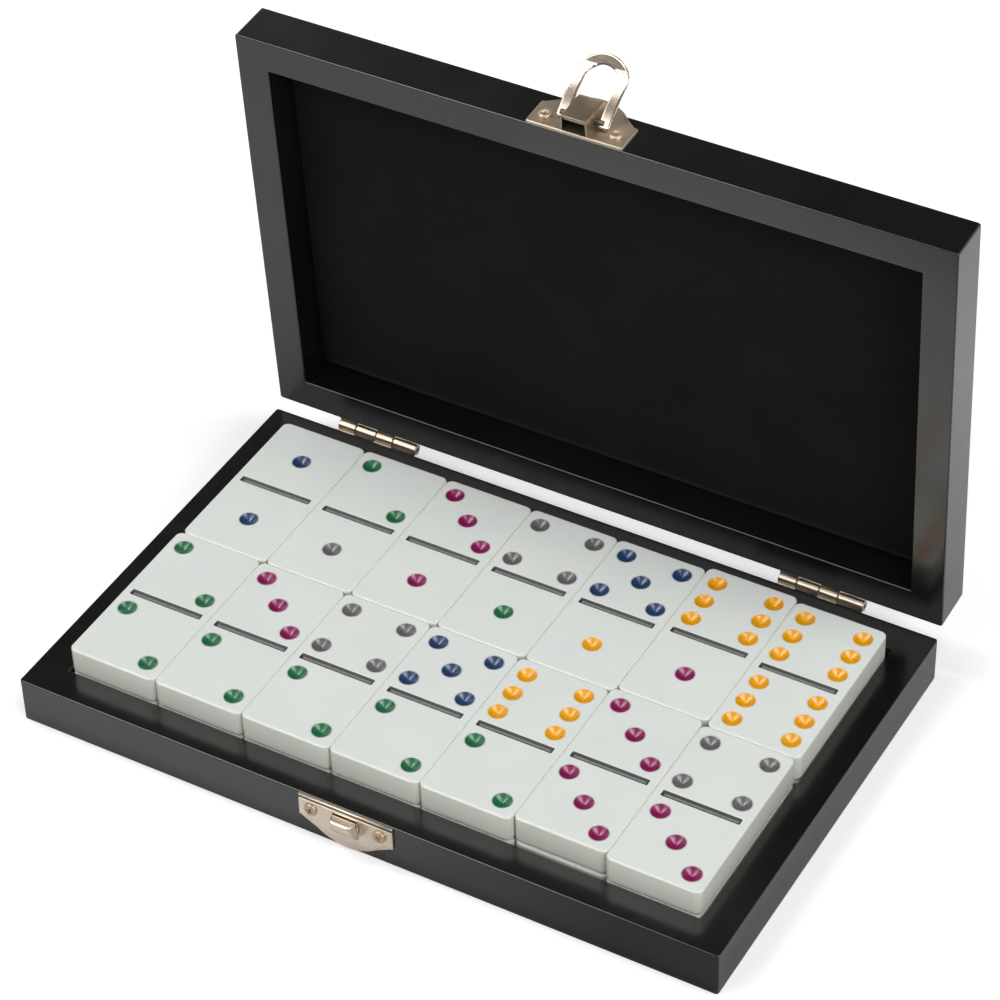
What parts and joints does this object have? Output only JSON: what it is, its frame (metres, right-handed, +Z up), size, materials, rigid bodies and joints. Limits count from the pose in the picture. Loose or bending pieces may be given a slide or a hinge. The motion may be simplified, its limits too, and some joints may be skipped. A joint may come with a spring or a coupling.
{
  "type": "domino storage box",
  "caption": "Black wooden hinged case with a front catch, its tray packed with a double-six domino set lying flat in layers.",
  "frame": {"origin": "middle of the base's underside, on the surface the box stands on", "axes": "+X along the hinge line, +Y from the catch to the hinges, +Z up"},
  "size_m": [0.197, 0.1403, 0.1515],
  "materials": {
    "lacquered_wood": "satin black lacquer",
    "lining": "dark flocked lining",
    "nickel": "warm nickel plate",
    "screws": "warm nickel plate, polished",
    "domino": "polished white resin with painted spots"
  },
  "bodies": {
    "base": {"base_front_rail": "lacquered_wood", "base_back_rail": "lacquered_wood", "base_left_rail": "lacquered_wood", "base_right_rail": "lacquered_wood", "base_floor": "lacquered_wood", "base_lining": "lining", "left_hinge_base_leaf": "nickel", "left_hinge_pin": "screws", "right_hinge_base_leaf": "nickel", "right_hinge_pin": "screws", "base_hinge_screws": "screws", "catch_base_plate": "nickel", "catch_base_screws": "screws"},
    "lid": {"lid_front_rail": "lacquered_wood", "lid_back_rail": "lacquered_wood", "lid_left_rail": "lacquered_wood", "lid_right_rail": "lacquered_wood", "lid_panel_board": "lacquered_wood", "lid_lining": "lining", "left_hinge_lid_leaf": "nickel", "right_hinge_lid_leaf": "nickel", "lid_hinge_screws": "screws", "catch_lid_plate": "nickel", "catch_housing": "nickel", "catch_lid_screws": "screws"},
    "catch_loop": {"catch_loop": "nickel"},
    "domino_lower_front_1": {"domino_lower_front_1": "domino"},
    "domino_lower_front_2": {"domino_lower_front_2": "domino"},
    "domino_lower_front_3": {"domino_lower_front_3": "domino"},
    "domino_lower_front_4": {"domino_lower_front_4": "domino"},
    "domino_lower_front_5": {"domino_lower_front_5": "domino"},
    "domino_lower_front_6": {"domino_lower_front_6": "domino"},
    "domino_lower_front_7": {"domino_lower_front_7": "domino"},
    "domino_lower_back_1": {"domino_lower_back_1": "domino"},
    "domino_lower_back_2": {"domino_lower_back_2": "domino"},
    "domino_lower_back_3": {"domino_lower_back_3": "domino"},
    "domino_lower_back_4": {"domino_lower_back_4": "domino"},
    "domino_lower_back_5": {"domino_lower_back_5": "domino"},
    "domino_lower_back_6": {"domino_lower_back_6": "domino"},
    "domino_lower_back_7": {"domino_lower_back_7": "domino"},
    "domino_upper_front_1": {"domino_upper_front_1": "domino"},
    "domino_upper_front_2": {"domino_upper_front_2": "domino"},
    "domino_upper_front_3": {"domino_upper_front_3": "domino"},
    "domino_upper_front_4": {"domino_upper_front_4": "domino"},
    "domino_upper_front_5": {"domino_upper_front_5": "domino"},
    "domino_upper_front_6": {"domino_upper_front_6": "domino"},
    "domino_upper_front_7": {"domino_upper_front_7": "domino"},
    "domino_upper_back_1": {"domino_upper_back_1": "domino"},
    "domino_upper_back_2": {"domino_upper_back_2": "domino"},
    "domino_upper_back_3": {"domino_upper_back_3": "domino"},
    "domino_upper_back_4": {"domino_upper_back_4": "domino"},
    "domino_upper_back_5": {"domino_upper_back_5": "domino"},
    "domino_upper_back_6": {"domino_upper_back_6": "domino"},
    "domino_upper_back_7": {"domino_upper_back_7": "domino"}
  },
  "joints": [
    {"name": "lid_hinge", "type": "hinge", "parent": "base", "child": "lid", "pos_m": [0, 0.0633, 0.0134], "axis": [-1, 0, 0], "range_deg": [-86.7, 0]},
    {"name": "catch_loop_pivot", "type": "hinge", "parent": "lid", "child": "catch_loop", "pos_m": [-0.0022, 0.0608, 0.14007], "axis": [1, 0, 0], "range_deg": [-20, 145]},
    {"name": "domino_lower_front_1_lift", "type": "slide", "parent": "base", "child": "domino_lower_front_1", "axis": [0, 0, 1], "range_m": [0, 0.03]},
    {"name": "domino_lower_front_2_lift", "type": "slide", "parent": "base", "child": "domino_lower_front_2", "axis": [0, 0, 1], "range_m": [0, 0.03]},
    {"name": "domino_lower_front_3_lift", "type": "slide", "parent": "base", "child": "domino_lower_front_3", "axis": [0, 0, 1], "range_m": [0, 0.03]},
    {"name": "domino_lower_front_4_lift", "type": "slide", "parent": "base", "child": "domino_lower_front_4", "axis": [0, 0, 1], "range_m": [0, 0.03]},
    {"name": "domino_lower_front_5_lift", "type": "slide", "parent": "base", "child": "domino_lower_front_5", "axis": [0, 0, 1], "range_m": [0, 0.03]},
    {"name": "domino_lower_front_6_lift", "type": "slide", "parent": "base", "child": "domino_lower_front_6", "axis": [0, 0, 1], "range_m": [0, 0.03]},
    {"name": "domino_lower_front_7_lift", "type": "slide", "parent": "base", "child": "domino_lower_front_7", "axis": [0, 0, 1], "range_m": [0, 0.03]},
    {"name": "domino_lower_back_1_lift", "type": "slide", "parent": "base", "child": "domino_lower_back_1", "axis": [0, 0, 1], "range_m": [0, 0.03]},
    {"name": "domino_lower_back_2_lift", "type": "slide", "parent": "base", "child": "domino_lower_back_2", "axis": [0, 0, 1], "range_m": [0, 0.03]},
    {"name": "domino_lower_back_3_lift", "type": "slide", "parent": "base", "child": "domino_lower_back_3", "axis": [0, 0, 1], "range_m": [0, 0.03]},
    {"name": "domino_lower_back_4_lift", "type": "slide", "parent": "base", "child": "domino_lower_back_4", "axis": [0, 0, 1], "range_m": [0, 0.03]},
    {"name": "domino_lower_back_5_lift", "type": "slide", "parent": "base", "child": "domino_lower_back_5", "axis": [0, 0, 1], "range_m": [0, 0.03]},
    {"name": "domino_lower_back_6_lift", "type": "slide", "parent": "base", "child": "domino_lower_back_6", "axis": [0, 0, 1], "range_m": [0, 0.03]},
    {"name": "domino_lower_back_7_lift", "type": "slide", "parent": "base", "child": "domino_lower_back_7", "axis": [0, 0, 1], "range_m": [0, 0.03]},
    {"name": "domino_upper_front_1_lift", "type": "slide", "parent": "domino_lower_front_1", "child": "domino_upper_front_1", "axis": [0, 0, 1], "range_m": [0, 0.03]},
    {"name": "domino_upper_front_2_lift", "type": "slide", "parent": "domino_lower_front_2", "child": "domino_upper_front_2", "axis": [0, 0, 1], "range_m": [0, 0.03]},
    {"name": "domino_upper_front_3_lift", "type": "slide", "parent": "domino_lower_front_3", "child": "domino_upper_front_3", "axis": [0, 0, 1], "range_m": [0, 0.03]},
    {"name": "domino_upper_front_4_lift", "type": "slide", "parent": "domino_lower_front_4", "child": "domino_upper_front_4", "axis": [0, 0, 1], "range_m": [0, 0.03]},
    {"name": "domino_upper_front_5_lift", "type": "slide", "parent": "domino_lower_front_5", "child": "domino_upper_front_5", "axis": [0, 0, 1], "range_m": [0, 0.03]},
    {"name": "domino_upper_front_6_lift", "type": "slide", "parent": "domino_lower_front_6", "child": "domino_upper_front_6", "axis": [0, 0, 1], "range_m": [0, 0.03]},
    {"name": "domino_upper_front_7_lift", "type": "slide", "parent": "domino_lower_front_7", "child": "domino_upper_front_7", "axis": [0, 0, 1], "range_m": [0, 0.03]},
    {"name": "domino_upper_back_1_lift", "type": "slide", "parent": "domino_lower_back_1", "child": "domino_upper_back_1", "axis": [0, 0, 1], "range_m": [0, 0.03]},
    {"name": "domino_upper_back_2_lift", "type": "slide", "parent": "domino_lower_back_2", "child": "domino_upper_back_2", "axis": [0, 0, 1], "range_m": [0, 0.03]},
    {"name": "domino_upper_back_3_lift", "type": "slide", "parent": "domino_lower_back_3", "child": "domino_upper_back_3", "axis": [0, 0, 1], "range_m": [0, 0.03]},
    {"name": "domino_upper_back_4_lift", "type": "slide", "parent": "domino_lower_back_4", "child": "domino_upper_back_4", "axis": [0, 0, 1], "range_m": [0, 0.03]},
    {"name": "domino_upper_back_5_lift", "type": "slide", "parent": "domino_lower_back_5", "child": "domino_upper_back_5", "axis": [0, 0, 1], "range_m": [0, 0.03]},
    {"name": "domino_upper_back_6_lift", "type": "slide", "parent": "domino_lower_back_6", "child": "domino_upper_back_6", "axis": [0, 0, 1], "range_m": [0, 0.03]},
    {"name": "domino_upper_back_7_lift", "type": "slide", "parent": "domino_lower_back_7", "child": "domino_upper_back_7", "axis": [0, 0, 1], "range_m": [0, 0.03]}
  ]
}
